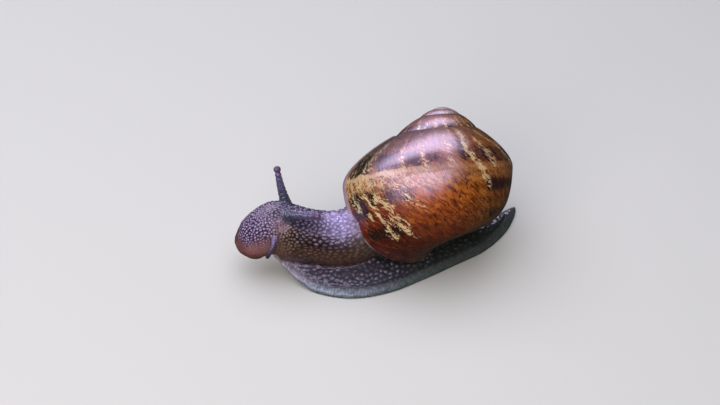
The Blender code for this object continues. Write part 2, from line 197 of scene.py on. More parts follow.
def section():
    """The section at the lip, from suture to pillar, and the index where the next turn meets it."""
    side = WIDEST - Vector((0, SIDE_SHARE * (WIDEST.y - LOWEST.y)))
    suture = WIDEST / GROWTH
    for _ in range(SUTURE_PASSES):
        upper = interpolate_bezier(suture, suture + SHOULDER, WIDEST + WIDEST_HANDLE, WIDEST, UPPER_POINTS)
        suture = upper[-1 - SUTURE_RISE] / GROWTH
    lower = interpolate_bezier(WIDEST, side, LOWEST + Vector((9.0, 0)), LOWEST, LOWER_POINTS)
    inner = interpolate_bezier(
        LOWEST, LOWEST - Vector((3.4, 0)), PILLAR + Vector((1.4, -3.4)), PILLAR, INNER_POINTS
    )
    return upper + lower[1:] + inner[1:], len(upper) - 1 - SUTURE_RISE


def inward(points):
    """Unit normals of the section, pointing into the tube."""
    result = []
    for i in range(len(points)):
        along = (points[min(i + 1, len(points) - 1)] - points[max(i - 1, 0)]).normalized()
        result.append(Vector((along.y, -along.x)))
    return result


def on_shell(point, normal, turn, offset):
    """A section point carried along the coil, moved into the tube by an offset."""
    last = max(0.0, 1 + turn / math.tau)
    lag = last * last * (3 - 2 * last) * (point.y - SUTURE_DEPTH) * LIP_SLOPE if turn > -math.tau else 0.0
    angle = turn + lag
    size = GROWTH ** (angle / math.tau)
    moved = (point + normal * offset) * size
    depth = math.hypot(moved.y, TIP_ROUNDING) - TIP_ROUNDING
    return Vector((moved.x * math.cos(angle), -moved.x * math.sin(angle), -depth))


shell_points, meeting_index = section()
shell_normals = inward(shell_points)
place_along = [PLACE_AT_SUTURE]
for a, b in zip(shell_points, shell_points[1:]):
    place_along.append(place_along[-1] + (b - a).length)
lip_share = [
    1.0 - (1.0 - LIP_LOW_FLARE) * min(max((place - LIP_FADE[0]) / LIP_FADE[1], 0.0), 1.0)
    for place in place_along
]

bm = bmesh.new()
point_layer = bm.verts.layers.int.new("point")
turn_layer = bm.verts.layers.float.new("turn")
offset_layer = bm.verts.layers.float.new("offset")


def start_row(indices):
    row = []
    for i in indices:
        vert = bm.verts.new()
        vert[point_layer] = i
        row.append(vert)
    return [bm.edges.new(pair) for pair in zip(row, row[1:])]


def put(verts, turn, offset, flared):
    for vert in verts:
        i = vert[point_layer]
        vert[turn_layer] = turn
        vert[offset_layer] = offset
        ripple = RIPPLE * noise.noise(Vector((turn * RIPPLES_PER_RADIAN, place_along[i] * 0.03, 0.0)))
        vert.co = on_shell(shell_points[i], shell_normals[i], turn, offset - flared * lip_share[i] + ripple)


def flare(turn):
    """How far the wall stands out of its section near the lip."""
    share = max(0.0, 1 + turn / LIP_WIDTH)
    return LIP_FLARE * share * share


def extrude_row(bm, edges):
    """Extrude a row of edges; the new row's vertices and edges."""
    made = bmesh.ops.extrude_edge_only(bm, edges=edges)["geom"]
    verts = {item for item in made if isinstance(item, bmesh.types.BMVert)}
    edges = [
        item for item in made
        if isinstance(item, bmesh.types.BMEdge) and item.verts[0] in verts and item.verts[1] in verts
    ]
    return verts, edges


def sweep(edges, path):
    """Extrude a row of edges through rows of turn, offset and flare."""
    put({vert for edge in edges for vert in edge.verts}, *path[0])
    for turn, offset, flared in path[1:]:
        verts, edges = extrude_row(bm, edges)
        put(verts, turn, offset, flared)


step = math.tau / STEPS_PER_TURN
spire_steps = int((SPIRE_TURNS - 1) * STEPS_PER_TURN)
spire_path = [(-math.tau * SPIRE_TURNS + i * step, 0.0, 0.0) for i in range(spire_steps + 1)]
sweep(start_row(range(meeting_index + 1)), spire_path)
last_path = [(-math.tau + i * step, 0.0, flare(-math.tau + i * step)) for i in range(STEPS_PER_TURN + 1)]
lip_path = []
for i in range(1, LIP_STEPS + 1):
    bend = math.pi * i / LIP_STEPS
    lip_path.append((LIP_BULGE * math.sin(bend), LIP_ROUND * (1 - math.cos(bend)), LIP_FLARE))
inner_turns = [-INNER_TURN * i / INNER_STEPS for i in range(1, INNER_STEPS + 1)]
inner_path = [(turn, 2 * LIP_ROUND, flare(turn)) for turn in inner_turns]
sweep(start_row(range(len(shell_points))), last_path + lip_path + inner_path)

pattern = bm.loops.layers.uv.new("pattern")
for face in bm.faces:
    face.smooth = True
    if sum(vert[offset_layer] for vert in face.verts) > 0.3:
        face.material_index = 1
    for loop in face.loops:
        vert = loop.vert
        loop[pattern].uv = (vert[turn_layer], place_along[vert[point_layer]])
bmesh.ops.remove_doubles(bm, verts=bm.verts[:], dist=2e-4)
tip_edges = [e for e in bm.edges if e.is_boundary and max(v.co.length for v in e.verts) < 1.6]
made = bmesh.ops.extrude_edge_only(bm, edges=tip_edges)["geom"]
bmesh.ops.pointmerge(bm, verts=[m for m in made if isinstance(m, bmesh.types.BMVert)], merge_co=Vector())
bmesh.ops.recalc_face_normals(bm, faces=bm.faces[:])
for edge in bm.edges:
    if edge.is_manifold and edge.calc_face_angle() > SUTURE_CREASE:
        edge.smooth = False
bmesh.ops.transform(bm, matrix=SHELL_PLACE, verts=bm.verts[:])
shell_mesh = mesh_from(bm, "spiral_shell")
shell = put_in_scene("spiral_shell", shell_mesh)

# Pale flames run with the growth lines and break the dark bands into blocks: each is a
# line of turn (radians) and place (mm along the section), with its width in mm.
FLAMES = (
    (((-0.60, 4.0), (-0.52, 7.5), (-0.46, 11.0), (-0.38, 14.5)), 0.7),
    (((-0.46, 11.0), (-0.55, 12.5)), 0.3),
    (((-0.30, 5.0), (-0.28, 9.0), (-0.22, 13.0)), 0.3),
    (((-0.97, 7.5), (-0.99, 14.0)), 0.3),
    (((-1.25, 7.0), (-1.24, 14.0)), 0.3),
    (((-0.28, 14.5), (-0.32, 17.5), (-0.41, 20.0), (-0.44, 24.0), (-0.43, 28.0)), 0.5),
    (((-0.41, 20.0), (-0.30, 22.5)), 0.3),
    (((-0.44, 22.5), (-0.53, 25.0)), 0.25),
    (((-0.50, 14.5), (-0.51, 18.5), (-0.58, 21.0), (-0.62, 25.0), (-0.68, 28.5)), 0.65),
    (((-0.56, 19.5), (-0.66, 21.0)), 0.35),
    (((-0.61, 23.0), (-0.72, 25.5)), 0.3),
    (((-0.82, 17.5), (-0.90, 20.0), (-0.99, 22.5)), 0.3),
    (((-0.12, 12.5), (-0.17, 15.0), (-0.14, 18.0), (-0.20, 21.0)), 0.55),
    (((-1.60, 3.0), (-1.62, 8.0), (-1.60, 13.0)), 0.3),
)
BLOCKS = (                         # from and to turn, from and to place, depth
    (-0.52, -0.12, 7.8, 13.2, 1.0),
    (-0.92, -0.62, 8.0, 13.0, 1.0),
    (-1.22, -1.00, 8.4, 12.8, 0.9),
    (-1.48, -1.28, 8.8, 12.6, 0.7),
    (-1.92, -1.70, 5.0, 12.5, 0.75),
    (-0.31, -0.08, 17.3, 22.5, 1.0),
    (-0.52, -0.38, 17.3, 20.5, 0.9),
    (-0.95, -0.62, 17.3, 20.3, 0.75),
    (-0.62, -0.08, 25.2, 27.8, 0.8),
)
SPOTS = (                          # turn and place of dark oval spots
    (-1.65, 18.0), (-1.50, 21.0), (-1.80, 22.0), (-1.10, 24.5), (-1.20, 26.0), (-1.40, 26.5), (-1.05, 27.0),
    (-1.30, 32.0), (-0.85, 32.0),
)
BAND_PLACES = ((10.5, 2.8), (18.9, 1.6), (26.5, 1.3))   # middle and half width of the dark bands, mm
PATTERN_RADIUS = 19.0              # mm of growth for one radian of turn
STREWN_BEHIND = -1.95              # turn behind which flames and bands are strewn, not laid out
BLOCK_FRAY = 1.9                   # mm over which a dark block fades in

count = len(shell_mesh.vertices)
turns = np.zeros(count, np.float32)
places = np.zeros(count, np.int32)
shell_mesh.attributes["turn"].data.foreach_get("value", turns)
shell_mesh.attributes["point"].data.foreach_get("value", places)
places = np.array(place_along, np.float32)[places]
spread = np.random.default_rng(11)
flames = list(FLAMES)
turn = STREWN_BEHIND
while turn > -math.tau * SPIRE_TURNS:
    start = spread.uniform(0.5, 9.0)
    flame = [(turn, start)]
    while flame[-1][1] < min(start + spread.uniform(7.0, 22.0), 30.0):
        flame.append((flame[-1][0] + spread.uniform(-0.11, 0.06), flame[-1][1] + spread.uniform(2.0, 3.6)))
    flames.append((flame, spread.uniform(0.2, 0.8)))
    turn -= spread.uniform(0.16, 0.42)
flame_reach = np.full(count, -4.0, np.float32)
for line, width in flames:
    for (turn_a, place_a), (turn_b, place_b) in zip(line, line[1:]):
        near = np.abs(turns - 0.5 * (turn_a + turn_b)) < 0.6
        across = (turns[near] - turn_a) * PATTERN_RADIUS
        down = places[near] - place_a
        step_across = (turn_b - turn_a) * PATTERN_RADIUS
        step_down = place_b - place_a
        length_squared = step_across ** 2 + step_down ** 2
        share = np.clip((across * step_across + down * step_down) / length_squared, 0, 1)
        away_from = np.hypot(across - share * step_across, down - share * step_down)
        flame_reach[near] = np.maximum(flame_reach[near], width - away_from)
band_depth = np.zeros(count, np.float32)
for turn_a, turn_b, place_a, place_b, depth in BLOCKS:
    inside = np.minimum.reduce((
        (turns - turn_a) * PATTERN_RADIUS, (turn_b - turns) * PATTERN_RADIUS,
        places - place_a, place_b - places,
    ))
    band_depth = np.maximum(band_depth, depth * np.clip(0.5 + inside / BLOCK_FRAY, 0, 1))
behind = turns < STREWN_BEHIND
for middle, half in BAND_PLACES:
    edge = np.clip(0.5 + (half - np.abs(places - middle)) / BLOCK_FRAY, 0, 1)
    breaks = 0.7 + 0.3 * np.sin(turns * 5.1 + middle) * np.sin(turns * 2.3 + 2.0 * middle)
    band_depth = np.where(behind, np.maximum(band_depth, edge * breaks), band_depth)
spot_reach = np.full(count, -3.0, np.float32)
for turn, place in SPOTS:
    across = (turns - turn) * PATTERN_RADIUS
    down = places - place
    away_from = np.hypot((across - 0.6 * down) / 1.0, (down + 0.6 * across) / 2.3)
    spot_reach = np.maximum(spot_reach, 0.35 - away_from)
for name, values in (("pale_flame", flame_reach), ("band", band_depth), ("spot", spot_reach)):
    layer = shell_mesh.attributes.new(name, "FLOAT", "POINT")
    layer.data.foreach_set("value", values.astype(np.float32))
for name in ("turn", "offset", "point"):
    shell_mesh.attributes.remove(shell_mesh.attributes[name])

# The horny coat: glossy, thin, brown over lime; olive to red-brown with cream marks.
horn, tree, shader = new_material("horny_shell_coat")
uv = add_node(tree, "ShaderNodeUVMap", {"uv_map": "pattern"})
parts = add_node(tree, "ShaderNodeSeparateXYZ", None, {"Vector": uv.outputs["UV"]})
flat = add_node(tree, "ShaderNodeVectorMath", {"operation": "MULTIPLY"},
                {0: uv.outputs["UV"], 1: (PATTERN_RADIUS, 1.0, 0.0)})
wobble = add_node(tree, "ShaderNodeTexNoise", None,
                  {"Vector": flat.outputs["Vector"], "Scale": 0.8, "Detail": 4.0, "Roughness": 0.6})
centred = add_node(tree, "ShaderNodeVectorMath", {"operation": "SUBTRACT"},
                   {0: wobble.outputs["Color"], 1: (0.5, 0.5, 0.5)})
shift = add_node(tree, "ShaderNodeVectorMath", {"operation": "SCALE"},
                 {0: centred.outputs["Vector"], "Scale": 2.2})
frayed = add_node(tree, "ShaderNodeVectorMath", {"operation": "ADD"},
                  {0: flat.outputs["Vector"], 1: shift.outputs["Vector"]})
frayed_parts = add_node(tree, "ShaderNodeSeparateXYZ", None, {"Vector": frayed.outputs["Vector"]})
slant = add_node(tree, "ShaderNodeVectorRotate", {"rotation_type": "Z_AXIS"},
                 {"Vector": frayed.outputs["Vector"], "Angle": math.radians(-38)})

# the values that place the marks: turn and place on the coil, the painted marks, and noise
# that is stretched along the growth lines or slants across them
signals = {"turn": parts.outputs["X"], "place": parts.outputs["Y"],
           "frayed_place": frayed_parts.outputs["Y"], "wobble": centred.outputs["Vector"]}
for name in ("pale_flame", "band", "spot"):
    signals[name] = add_node(tree, "ShaderNodeAttribute", {"attribute_name": name}).outputs["Fac"]
vectors = {"flat": flat.outputs["Vector"]}
for name, source, factors in (
    ("slanting", slant, (2.0, 0.3, 1.0)), ("barbed", slant, (1.5, 0.6, 1.0)),
    ("grown", flat, (3.2, 0.12, 1.0)),
):
    vectors[name] = add_node(tree, "ShaderNodeVectorMath", {"operation": "MULTIPLY"},
                             {0: source.outputs["Vector"], 1: factors}).outputs["Vector"]
for name, vector, scale, detail, roughness in (
    ("patches", "flat", 0.55, 6.0, 0.7), ("ragged", "flat", 1.3, 5.0, 0.65), ("grain", "flat", 3.2, 3.0, 0.6),
    ("streaks", "slanting", 1.0, 3.0, 0.6), ("branches", "barbed", 1.0, 4.0, 0.65),
    ("growth", "grown", 1.0, 4.0, 0.65),
):
    signals[name] = add_node(tree, "ShaderNodeTexNoise", None, {
        "Vector": vectors[vector], "Scale": scale, "Detail": detail, "Roughness": roughness}).outputs["Fac"]
signals["net"] = add_node(tree, "ShaderNodeTexVoronoi", {"feature": "DISTANCE_TO_EDGE"},
                          {"Vector": frayed.outputs["Vector"], "Scale": 0.8}).outputs["Distance"]
for name, value, factor, added in (    # a value times a factor, plus another value
    ("wave", "wobble", 0.5, "turn"), ("side_angle", "wobble", 0.35, "turn"),
    ("band_growth", "growth", 2.8, "band"), ("band_edge", "ragged", 2.2, "band_growth"),
    ("spot_edge", "ragged", 0.9, "spot"), ("flame_edge", "branches", 9.0, "pale_flame"),
    ("relief", "grain", 0.3, "growth"),
):
    signals[name] = add_node(tree, "ShaderNodeMath", {"operation": "MULTIPLY_ADD"},
                             {0: signals[value], 1: factor, 2: signals[added]}).outputs["Value"]
MASKS = (                          # name, value, where it starts and is full, least and most of it
    ("to_middle", "wave", -0.45, -0.95, 0.0, 1.0),
    ("to_back", "wave", -1.3, -2.0, 0.0, 1.0),
    ("net_line", "net", 0.16, 0.04, 0.0, 1.0),
    ("net_low", "frayed_place", 18.4, 16.6, 0.0, 1.0),
    ("net_high", "frayed_place", 13.0, 14.4, 0.0, 1.0),
    ("net_near", "turn", -1.6, -0.6, 0.2, 1.0),
    ("streak_line", "streaks", 0.48, 0.6, 0.0, 1.0),
    ("streak_zone", "frayed_place", 13.5, 19.0, 0.45, 0.85),
    ("pale_line", "streaks", 0.46, 0.34, 0.0, 0.75),
    ("band_amount", "band_edge", 2.65, 3.3, 0.0, 0.97),
    ("spot_amount", "spot_edge", 0.35, 0.6, 0.0, 0.85),
    ("line_high", "frayed_place", 13.0, 13.4, 0.0, 1.0),
    ("line_low", "frayed_place", 14.6, 14.1, 0.0, 1.0),
    ("line_fade", "turn", -1.5, -0.5, 0.1, 0.85),
    ("flame_amount", "flame_edge", 4.55, 5.1, 0.0, 0.92),
    # painted sheen: how far down the section the painted reflection reaches
    ("bloom_place", "frayed_place", 18.5, 14.0, 0.0, 1.0),
    ("worn", "turn", -11.5, -19.0, 0.0, 0.7),
    # painted shade in the crease just below each suture
    ("dirt_line", "place", 0.9, -1.0, 0.0, 0.75),
)
SLOPES = (                         # the same, fading evenly
    ("patch_gain", "patches", 0.3, 0.7, 0.62, 1.5),
    ("pale_zone", "frayed_place", 20.0, 28.0, 1.0, 0.3),
    ("growth_gain", "growth", 0.3, 0.7, 0.7, 1.3),
    ("lip_narrow", "place", 20.0, 31.0, 0.0, 0.06),
    ("on_spire", "turn", -5.4, -6.6, 0.0, 1.0),
    # painted sheen, broken up along the growth lines
    ("bloom_grain", "growth", 0.36, 0.6, 0.05, 0.3),
    # painted shade along the sutures, stronger on the inner whorls
    ("dirt_zone", "turn", -3.0, -9.0, 0.3, 1.0),
    ("wear", "patches", 0.35, 0.7, 0.24, 0.42),
)
for kind, rows in (("SMOOTHSTEP", MASKS), ("LINEAR", SLOPES)):
    for name, value, start, full, least, most in rows:
        signals[name] = add_node(tree, "ShaderNodeMapRange", {"interpolation_type": kind}, {
            "Value": signals[value], "From Min": start, "From Max": full, "To Min": least, "To Max": most,
        }).outputs["Result"]

# painted sheen: a lilac reflection of the overhead light, painted into the colour on the side that faces it;
# and the lip
sheen_turn = add_node(tree, "ShaderNodeMath", {"operation": "MULTIPLY_ADD"},
                      {0: signals["on_spire"], 1: -0.45, 2: signals["side_angle"]})
sheen_turn = add_node(tree, "ShaderNodeMath", {"operation": "ADD"}, {0: sheen_turn.outputs["Value"], 1: 1.06})
bloom_side = add_node(tree, "ShaderNodeMath", {"operation": "COSINE"}, {0: sheen_turn.outputs["Value"]})
bloom_side = add_node(tree, "ShaderNodeMath", {"operation": "MULTIPLY_ADD"},
                      {0: signals["on_spire"], 1: 0.3, 2: bloom_side.outputs["Value"]})
lip_place = add_node(tree, "ShaderNodeMath", {"operation": "SUBTRACT"},
                     {0: signals["turn"], 1: signals["lip_narrow"]})
for name, source, start, full in (
    ("bloom_side", bloom_side, 0.76, 0.88), ("lip_amount", lip_place, -0.06, -0.04),
):
    signals[name] = add_node(tree, "ShaderNodeMapRange", {"interpolation_type": "SMOOTHSTEP"}, {
        "Value": source.outputs["Value"], "From Min": start, "From Max": full}).outputs["Result"]
signals["off_band"] = add_node(tree, "ShaderNodeMath", {"operation": "MULTIPLY_ADD"},
                               {0: signals["band_amount"], 1: -0.6, 2: 1.0}).outputs["Value"]
for name, first, *others in (      # each amount is the product of its masks
    ("net_amount", "net_low", "net_high", "net_near", "net_line"),
    ("streak_amount", "streak_line", "streak_zone"),
    ("pale_amount", "pale_line", "pale_zone"), ("line_amount", "line_high", "line_low", "line_fade"),
    # painted sheen, and painted shade along the sutures
    ("bloom", "bloom_side", "bloom_place", "bloom_grain", "off_band"), ("dirt", "dirt_line", "dirt_zone"),
):
    product = signals[first]
    for other in others:
        product = add_node(tree, "ShaderNodeMath", {"operation": "MULTIPLY"},
                           {0: product, 1: signals[other]}).outputs["Value"]
    signals[name] = product

# ground colours down the section: near the lip, a quarter turn back, and further back
RAMP_LENGTH = 48.2                 # mm of section
GROUNDS = {
    "near": (
        (0, "#4A3A14"), (5, "#5C481A"), (9, "#4E3815"), (15.5, "#9E6428"), (18, "#743A10"),
        (22, "#6A2006"), (26, "#540E00"), (30, "#420600"), (36, "#360400"), (44, "#6A4428"),
    ),
    "middle": (
        (0, "#5A3A1C"), (5, "#704522"), (10, "#864620"), (14, "#9A6030"), (17, "#9A5208"),
        (21, "#9A4604"), (26, "#7A3402"), (31, "#541A02"), (36, "#401402"), (44, "#6A4A28"),
    ),
    "back": (
        (0, "#7A4A22"), (6, "#86480E"), (12, "#8C4A0C"), (18, "#8E4C08"), (24, "#744204"),
        (29, "#5A3C06"), (36, "#4A3808"), (44, "#6A5228"),
    ),
}
ground_ramps = {}
ramp_place = add_node(tree, "ShaderNodeMath", {"operation": "DIVIDE"},
                      {0: signals["frayed_place"], 1: RAMP_LENGTH})
for name, stops in GROUNDS.items():
    ramp = add_node(tree, "ShaderNodeValToRGB", None, {"Fac": ramp_place.outputs["Value"]})
    while len(ramp.color_ramp.elements) < len(stops):
        ramp.color_ramp.elements.new(0.5)
    for element, (place, colour) in zip(ramp.color_ramp.elements, stops):
        element.position = place / RAMP_LENGTH
        element.color = linear(colour)
    ground_ramps[name] = ramp.outputs["Color"]
mixed = {}                         # colours that vary between two
for name, share, first, second in (
    ("band", "to_middle", "#1C1006", "#2A0E14"),
    ("flame", "patches", "#B08A54", "#E6D3A8"),
    ("lip", "growth", "#6A5560", "#BBA6B2"),
):
    mixed[name] = add_node(tree, "ShaderNodeMix", {"data_type": "RGBA"},
                           {0: signals[share], 6: linear(first), 7: linear(second)}).outputs[2]

# the coat from the ground up: mottling in patches of 1 to 3 mm, a cream network by the pale line,
# dark and pale slanting streaks, bands broken into blocks, spots, the line round the widest part,
# the flames; then growth lines, the bare lime of the lip, a painted lilac sheen, the worn tip and painted
# shade along the sutures
coloured = ground_ramps["near"]
for layers, gain in (
    ((("to_middle", ground_ramps["middle"]), ("to_back", ground_ramps["back"])), "patch_gain"),
    ((("net_amount", linear("#D6B585")), ("streak_amount", linear("#3E1606")),
      ("pale_amount", linear("#B5742C")), ("band_amount", mixed["band"]), ("spot_amount", linear("#2E1406")),
      ("line_amount", linear("#D2B088")), ("flame_amount", mixed["flame"])), "growth_gain"),
    # painted lilac sheen
    ((("lip_amount", mixed["lip"]), ("bloom", linear("#C0A2C8")), ("worn", linear("#D8CAD8")),
      # painted shade along the sutures, dark brown
      ("dirt", linear("#3A2420"))), None),
):
    for name, colour in layers:
        coloured = add_node(tree, "ShaderNodeMix", {"data_type": "RGBA"},
                            {0: signals[name], 6: coloured, 7: colour}).outputs[2]
    if gain:
        coloured = add_node(tree, "ShaderNodeVectorMath", {"operation": "SCALE"},
                            {0: coloured, "Scale": signals[gain]}).outputs["Vector"]
bump = add_node(tree, "ShaderNodeBump", None,
                {"Strength": 0.6, "Distance": 0.07 * MM, "Height": signals["relief"]})
set_inputs(tree, shader, {
    "Base Color": coloured, "Roughness": signals["wear"], "IOR": 1.55, "Specular IOR Level": 0.15,
    "Normal": bump.outputs["Normal"], "Coat Normal": bump.outputs["Normal"],
    "Coat Weight": 1.0, "Coat Roughness": 0.2, "Coat IOR": 1.9,
})

# Inside, smooth pearly lime with a trace of the growth lines.
pearl, tree, shader = new_material("pearly_shell_inside")
uv = add_node(tree, "ShaderNodeUVMap", {"uv_map": "pattern"})
flat = add_node(tree, "ShaderNodeVectorMath", {"operation": "MULTIPLY"},
                {0: uv.outputs["UV"], 1: (PATTERN_RADIUS * 0.8, 0.12, 0.0)})
growth = add_node(tree, "ShaderNodeTexNoise", None,
                  {"Vector": flat.outputs["Vector"], "Scale": 1.0, "Detail": 3.0})
tint = add_node(tree, "ShaderNodeMix", {"data_type": "RGBA"},
                {0: growth.outputs["Fac"], 6: linear("#A68C92"), 7: linear("#D9C9C6")})
set_inputs(tree, shader, {"Base Color": tint.outputs[2], "Roughness": 0.28, "Coat Weight": 0.5})
shell_mesh.materials.append(horn)
shell_mesh.materials.append(pearl)
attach(shell, "root")
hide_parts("shell")

# --- skin --------------------------------------------------------------------
# The soft body in one wet skin: head, neck and the foot that it creeps on. Muscle
# with no bones, so its shape is all rounds; pale warts stand in rows in a dark net.

BODY = (                           # x, y, z of the middle, half width, half height, in mm
    (-22.9, 0.4, 4.7, 1.3, 1.5),
    (-22.5, 0.4, 5.3, 2.9, 2.8),
    (-21.4, 0.3, 6.7, 3.8, 3.7),
    (-19.7, 0.2, 8.6, 4.4, 4.4),
    (-17.7, 0.1, 10.2, 4.8, 4.9),
    (-15.4, 0.0, 10.9, 5.0, 5.1),
    (-12.5, 0.0, 10.0, 4.7, 4.7),
    (-8.5, 0.0, 9.0, 4.6, 4.6),
    (-4.0, 0.0, 8.7, 5.0, 4.7),
    (0.5, 0.8, 9.3, 5.6, 5.4),
    (4.5, 2.8, 11.4, 6.4, 6.0),
    (7.5, 4.6, 14.6, 6.2, 5.8),
    (10.0, 3.4, 16.6, 5.0, 5.0),
)
FOOT = (                           # x, y, lift of the sole, half width, height of the back
    (-18.0, 0.7, 5.2, 0.5, 0.7),
    (-17.2, 0.6, 4.9, 2.6, 1.1),
    (-15.0, 0.5, 3.6, 4.4, 2.2),
    (-11.5, 0.2, 1.0, 6.2, 4.0),
    (-8.0, 0.0, 0.0, 7.9, 4.8),
    (-2.0, -0.4, 0.0, 9.0, 5.0),
    (4.0, 0.5, 0.0, 8.4, 5.2),
    (10.0, 2.4, 0.0, 6.9, 5.4),
    (17.0, 5.5, 0.0, 5.6, 4.4),
    (23.0, 8.2, 0.0, 4.3, 3.4),
    (28.0, 12.2, 0.0, 2.7, 2.4),
    (31.0, 16.2, 0.0, 1.3, 1.4),
    (32.3, 18.6, 0.0, 0.3, 0.5),
)
FEELERS = {                        # points along the middle, radius at the root and the tip
    "upper_left": (((-14.6, -1.2, 12.6), (-15.0, -1.4, 14.0), (-13.6, -1.9, 15.5), (-11.4, -2.3, 15.7),
                    (-8.7, -2.4, 15.5)), 1.95, 0.62),
    "upper_right": (((-14.0, 1.6, 12.6), (-14.2, 1.9, 14.4), (-14.9, 2.5, 16.6), (-15.5, 3.2, 19.0),
                     (-15.95, 3.87, 21.5)), 1.5, 0.58),
    "lower_left": (((-16.2, -3.2, 12.2), (-16.4, -4.6, 11.9), (-16.8, -5.8, 11.0), (-17.4, -6.5, 9.8),
                    (-18.1, -6.7, 8.5)), 0.66, 0.46),
    "lower_right": (((-17.4, 3.4, 11.8), (-17.6, 4.0, 11.8), (-17.9, 5.3, 10.6), (-18.6, 5.9, 9.4),
                     (-19.2, 6.0, 8.3)), 0.6, 0.42),
}
NECK_BELLY = ((-19.5, -15.5, -4.0, 1.0), (0.0, 1.0, 1.0, 0.0))   # x in mm, and share
NECK_SPREAD = 0.3                  # share of the half width
NECK_DEPTH = 0.4                   # share of the half height
SKIN_VOXEL = 0.265                 # mm
COLLAR_TURN = -0.08                # radians behind the lip
COLLAR_OFFSET = 1.25               # mm inside the wall
COLLAR_RADIUS = 0.8                # mm
FINE_BEFORE = -1.5                 # mm along the animal; finer faces in front of it
RING_COUNT = 160                   # along the body and along the foot
FILLET_REACH = 1.0                 # mm from both the body and the foot, where the fold is rounded
JOIN_REACH = 0.3                   # mm over which one part's skin passes into the next
WART_HEIGHT = 0.17                 # mm
WART_CROWDING = 0.72               # of the squared spacing, which two warts keep
WART_WARPS = 1.7                   # per mm
WART_WARP = 0.12                   # mm that outlines wander
WARP_SEED = 5                      # the same outlines each run
FRINGE_RIB = 0.5                   # mm from one rib of the foot's fringe to the next
COLLAR_POINTS = range(2, 88, 2)    # points of the lip that the mantle's edge follows
PLUG_TURNS = (-0.14, -0.30)        # front and back of the membrane across the mouth
PLUG_SHARES = np.linspace(0.03, 0.97, 48)   # along the lip
PLUG_INSETS = (0.7, 0.4)           # mm into the outer wall, and into the whorl before
PORE_POINT = 9                     # point of the lip next to the breathing opening


def catmull_rom(a, b, c, d, f):
    return 0.5 * (
        2 * b + (c - a) * f + (2 * a - 5 * b + 4 * c - d) * f * f + (3 * b - a - 3 * c + d) * f ** 3
    )


def along(stations, count):
    """Rows of values at even steps along a smooth curve through the stations."""
    rows = np.array(stations, float)
    places = np.linspace(0, len(rows) - 1, count)
    k = np.minimum(places.astype(int), len(rows) - 2)
    f = (places - k)[:, None]
    near = [rows[np.clip(k + j, 0, len(rows) - 1)] for j in (-1, 0, 1, 2)]
    return catmull_rom(*near, f)


def frames(middles, reach):
    """Tangent, side and top directions along a path."""
    last = len(middles) - 1
    index = np.arange(last + 1)
    ahead = middles[np.minimum(index + reach, last)] - middles[np.maximum(index - reach, 0)]
    ahead /= np.linalg.norm(ahead, axis=1)[:, None]
    side = np.cross((0.0, 0.0, 1.0), ahead)
    side /= np.linalg.norm(side, axis=1)[:, None]
    return ahead, side, np.cross(ahead, side)


def loft(bm, rings):
    """Extrude a closed ring through a row of ring shapes and close both ends."""
    slot = bm.verts.layers.int.get("slot") or bm.verts.layers.int.new("slot")
    verts = bmesh.ops.create_circle(bm, segments=len(rings[0]), radius=1.0)["verts"]
    for i, vert in enumerate(verts):
        vert[slot] = i
        vert.co = rings[0][i]
    edges = list({edge for vert in verts for edge in vert.link_edges})
    bmesh.ops.contextual_create(bm, geom=edges)
    for ring in rings[1:]:
        verts, edges = extrude_row(bm, edges)
        for vert in verts:
            vert.co = ring[vert[slot]]
    bmesh.ops.contextual_create(bm, geom=edges)


body_rows = along(BODY, RING_COUNT)
body_middle = body_rows[:, :3]
body_ahead, body_side, body_top = frames(body_middle, 19)
foot_rows = along(FOOT, RING_COUNT)
foot_middle = np.column_stack((foot_rows[:, :2], np.zeros(len(foot_rows))))
foot_ahead, foot_side, _ = frames(foot_middle, 8)


def body_ring(i):
    """Round above; below, the neck spreads and sinks into the foot."""
    angles = np.linspace(0, math.tau, 56, endpoint=False)[:, None]
    below = np.maximum(-np.sin(angles), 0) * float(np.interp(body_middle[i][0], *NECK_BELLY))
    return (body_middle[i] + body_side[i] * body_rows[i, 3] * np.cos(angles) * (1 + NECK_SPREAD * below)
            + body_top[i] * body_rows[i, 4] * np.sin(angles) * (1 + NECK_DEPTH * below))


def foot_ring(i):
    """Flat sole, thin frilled margin, hollow side, round back."""
    lift, half_width, height = max(foot_rows[i, 2], 0.0), foot_rows[i, 3], foot_rows[i, 4]
    edge = min(0.8, 0.5 * height)
    lip = min(0.3, 0.2 * half_width)
    half = [(half_width - 2 * lip, 0.0), (half_width - lip, 0.0), (half_width, 0.5 * edge)]
    for k in range(12):
        share = k / 12
        half.append(((half_width - 0.5 * lip) * (1 - share),
                     edge + (height - edge) * math.sin(0.5 * math.pi * share)))
    outline = [(0.0, 0.0)] + half + [(0.0, height)] + [(-x, z) for x, z in reversed(half)]
    return [foot_middle[i] + foot_side[i] * x + np.array((0, 0, lift + z)) for x, z in outline]


def round_ring(middle, side, top, radius, count=20):
    angles = np.linspace(0, math.tau, count, endpoint=False)[:, None]
    return middle + side * radius * np.cos(angles) + top * radius * np.sin(angles)


def piece(rings):
    made = bmesh.new()
    loft(made, rings)
    bmesh.ops.recalc_face_normals(made, faces=made.faces[:])
    return made


def in_mouth(place, normal, turn, offset):
    """A point of the shell's section, in mm from the modelling origin."""
    return np.array((SHELL_PLACE @ on_shell(place, normal, turn, offset) - FIT) / MM)


def collar_ring(i):
    """A round ring of the mantle's edge, just inside the lip."""
    place, normal = shell_points[i], shell_normals[i]
    middle = in_mouth(place, normal, COLLAR_TURN, COLLAR_OFFSET)
    outer = in_mouth(place, normal, COLLAR_TURN, 0.0) - middle
    outer /= np.linalg.norm(outer)
    front = in_mouth(place, normal, 0.0, COLLAR_OFFSET) - middle
    front /= np.linalg.norm(front)
    return round_ring(middle, outer, front, COLLAR_RADIUS)


